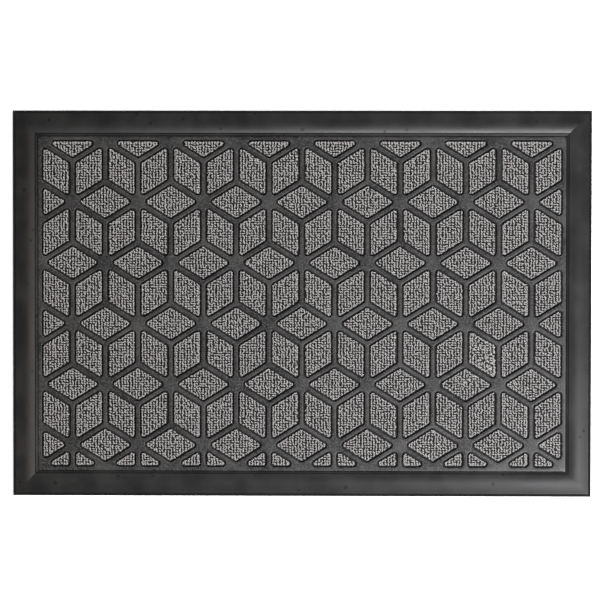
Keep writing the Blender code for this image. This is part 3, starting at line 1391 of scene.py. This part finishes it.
@dataclass(frozen=True)
class SoftLight:
    """A rectangular soft light.

    Attributes:
        name: its name.
        place: its middle.
        width: its width.
        height: its height.
        power: in watts.
        target: what it points at.
        warmth: its colour, sRGB.
    """

    name: str
    place: tuple[float, float, float]
    width: float
    height: float
    power: float
    target: tuple[float, float, float] = (0.0, 0.0, 0.0)
    warmth: str = "#ffffff"

    def add(self) -> None:
        """Adds the light."""
        data = bpy.data.lights.new(self.name, "AREA")
        data.shape = "RECTANGLE"
        data.size = self.width
        data.size_y = self.height
        data.energy = self.power
        data.color = linear(self.warmth)[:3]
        lamp = bpy.data.objects.new(self.name, data)
        bpy.context.scene.collection.objects.link(lamp)
        lamp.location = self.place
        lamp.rotation_euler = (Vector(self.target) - Vector(self.place)).to_track_quat("-Z", "Y").to_euler()


@dataclass
class Studio:
    """Pale floor, soft lights and an overhead camera.

    Attributes:
        layout: shared places; not used.
        camera_height: above the floor.
        camera_offset: sideways from above the mat's middle.
        look_at: the point in the middle of the view.
        view_width: width of the floor in view at the middle.
        fill: brightness of the room low down.
        overhead: brightness straight above.
        roll: sideways share of the camera's up direction.
        lights: the soft lights.
        glow: how brightly the floor is lit from below, which keeps it white and free of shadow.
    """

    layout: Layout
    camera_height: float = 3.0
    camera_offset: Point = (54.1 * MM, 88.2 * MM)
    look_at: Point = (-1.75 * MM, 3.76 * MM)
    view_width: float = 622.6 * MM
    roll: float = -0.0012
    lights: tuple[SoftLight, ...] = (
        SoftLight("key_softbox", (0.68, -0.64, 0.95), 0.55, 0.55, 28.0, warmth="#fbfcff"),
        SoftLight("far_strip", (0.38, 1.05, 0.34), 0.85, 0.22, 18.0, target=(0.15, 0.18, 0.0)),
        SoftLight("left_strip", (-1.15, -0.45, 0.46), 1.2, 0.8, 9.0, warmth="#fff1e6"),
    )
    fill: float = 0.40
    overhead: float = 0.06
    glow: float = 0.45

    def build(self) -> None:
        """Adds the floor, the lights, the sky and the camera."""
        self.add_floor()
        for light in self.lights:
            light.add()
        self.add_sky()
        self.add_camera()

    def add_floor(self) -> None:
        """Adds the floor, just under the mat."""
        bpy.ops.mesh.primitive_plane_add(size=12.0, location=(0.0, 0.0, -0.05 * MM))
        floor = bpy.context.object
        floor.name = "floor"
        material, tree, shader = blank_material("backlit_acrylic_floor")
        place = add_node(tree, "TexCoord", {}).outputs["Object"]
        grain = add_node(tree, "TexNoise", {"Vector": place, "Scale": 400.0, "Detail": 2.0})
        raised = {"Height": grain.outputs["Fac"], "Strength": 0.1, "Distance": 0.05 * MM}
        bump = add_node(tree, "Bump", raised)
        tree.links.new(bump.outputs["Normal"], shader.inputs["Normal"])
        shader.inputs["Base Color"].default_value = linear("#f6f6f5")
        shader.inputs["Emission Color"].default_value = linear("#ffffff")
        shader.inputs["Emission Strength"].default_value = self.glow
        shader.inputs["Roughness"].default_value = 0.9
        floor.data.materials.append(material)

    def add_sky(self) -> None:
        """Adds the even light of a pale room."""
        world = bpy.data.worlds.new("pale_room")
        world.use_nodes = True
        background = world.node_tree.nodes["Background"]
        background.inputs["Color"].default_value = linear("#ffffff")
        tree = world.node_tree
        place = add_node(tree, "TexCoord", {}).outputs["Generated"]
        height = add_node(tree, "SeparateXYZ", {"Vector": place}).outputs["Z"]
        levels = {"Value": height, "From Min": 0.5, "From Max": 0.985}
        levels |= {"To Min": self.fill, "To Max": self.overhead}
        strength = add_node(tree, "MapRange", levels)
        tree.links.new(strength.outputs["Result"], background.inputs["Strength"])
        bpy.context.scene.world = world

    def add_camera(self) -> None:
        """Adds the camera, nearly straight above the mat."""
        data = bpy.data.cameras.new("overhead_camera")
        camera = bpy.data.objects.new("overhead_camera", data)
        bpy.context.scene.collection.objects.link(camera)
        camera.location = (*self.camera_offset, self.camera_height)
        aim = Vector((*self.look_at, 0.0)) - camera.location
        right = aim.cross(Vector((self.roll, 1.0, 0.0))).normalized()
        back = -aim.normalized()
        camera.rotation_euler = Matrix((right, back.cross(right), back)).transposed().to_euler()
        data.sensor_width = 36.0
        data.lens = data.sensor_width * aim.length / self.view_width
        data.clip_start = 0.01
        bpy.context.scene.camera = camera
        bpy.context.scene.view_settings.view_transform = "Standard"


def main() -> None:
    """Builds the mat and the studio."""
    logging.basicConfig(level=logging.INFO, format="%(message)s")
    layout = Layout.from_frame()
    pattern = BlockPattern()
    margin = 4.1 * MM - pattern.rib_width / 2
    field_x = layout.half_x - layout.panel_inset - margin
    field_y = layout.half_y - layout.panel_inset - margin
    cells = pattern.cells(field_x, field_y)
    log.info("%d pads", len(cells))
    border_rubber = MouldedRubber("moulded_border_rubber", "#121212", "#242322", 0.43, 0.36, fleck_share=0.15)
    lattice_rubber = MouldedRubber(
        "moulded_lattice_rubber",
        "#131313",
        "#3c3b3a",
        0.43,
        0.52,
        grain_mm=1.5,
        grain_mm_high=0.13,
        fleck_share=0.85,
        speck_mm=70.0,
    )
    backing_rubber = MouldedRubber(
        "calendered_backing_rubber",
        "#0b0b0b",
        "#3d3c3a",
        0.75,
        0.15,
        mottle_share=0.08,
        fleck_share=0.05,
        painted_light_below_mm=1.0,
    )
    BackingSheet(layout).dress(backing_rubber.make())
    BorderFrame(layout).dress(border_rubber.make())
    LatticePanel(layout, pattern, cells).dress(lattice_rubber.make())
    cloth = CarpetCloth(layout, pattern, cells)
    cloth_piece = cloth.dress(WovenCloth().make())
    pile = CarpetPile(layout, pattern, cells, root=cloth.top() + cloth.mound)
    yarn = LoopYarn().make(pile.yarn_length(), 2 * math.pi * pile.yarn_radius)
    pile_pieces = pile.dress(yarn)
    Studio(layout).build()


if __name__ == "__main__":
    main()
